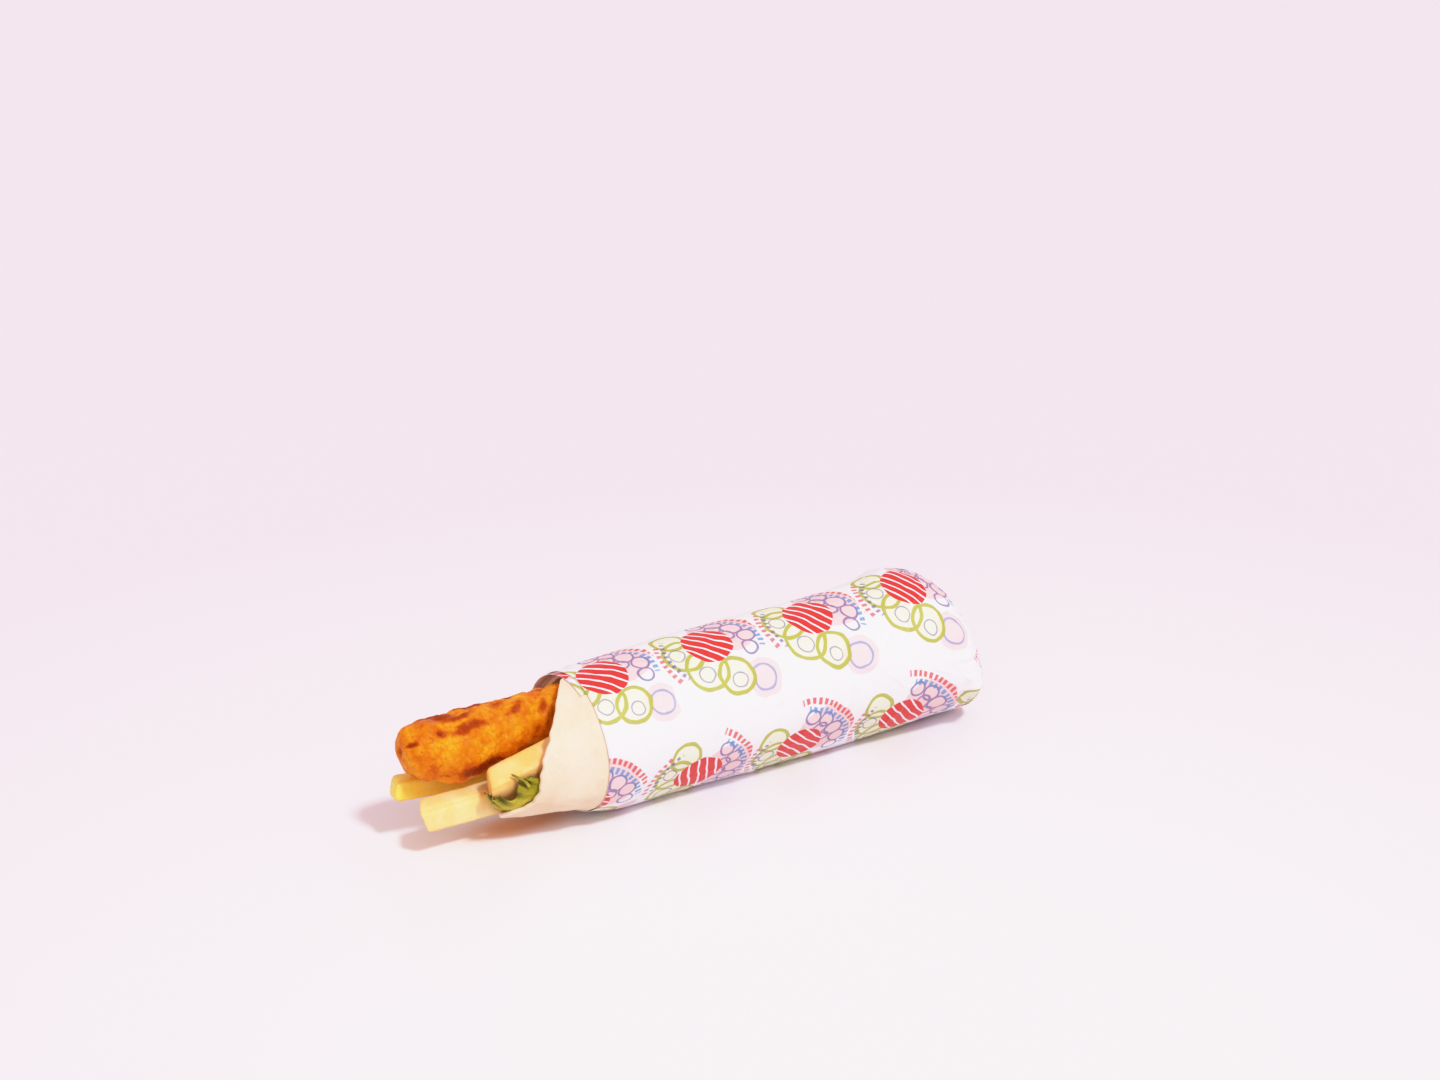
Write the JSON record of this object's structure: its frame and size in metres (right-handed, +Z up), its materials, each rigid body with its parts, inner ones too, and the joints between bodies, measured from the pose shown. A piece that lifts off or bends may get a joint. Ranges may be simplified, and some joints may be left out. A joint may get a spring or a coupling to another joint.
{
  "type": "chicken kebab sandwich",
  "caption": "Flatbread roll with a minced-chicken kebab, thick fries and a salad leaf, lying on its side in a printed greaseproof paper sleeve whose far end is pleated shut.",
  "frame": {"origin": "middle of the underside's bounding rectangle, on the surface the roll lies on", "axes": "+X from the open mouth to the pleated end, -Y the side that the bread's loose corner hangs out on, +Z up"},
  "size_m": [0.2594, 0.0646, 0.064],
  "materials": {
    "sleeve_paper": null,
    "flatbread": "soft cream flatbread with faint toasted blisters",
    "chicken_kebab": "orange spiced minced chicken, lumpy, with charred patches and a light oily sheen",
    "pale_fry": "pale yellow fried potato with a fine dry crust",
    "creamy_fry": "cream to golden fried potato",
    "golden_fry": "golden fried potato with a light oily sheen",
    "salad_leaf": "dark olive-green leaf, yellower at the frilled edge and on the stalk"
  },
  "bodies": {
    "root": {"paper_sleeve": "sleeve_paper", "flatbread": "flatbread", "chicken_kebab": "chicken_kebab", "fry_front": "pale_fry", "fry_middle": "creamy_fry", "fry_back": "golden_fry", "salad_leaf": "salad_leaf"}
  },
  "joints": []
}
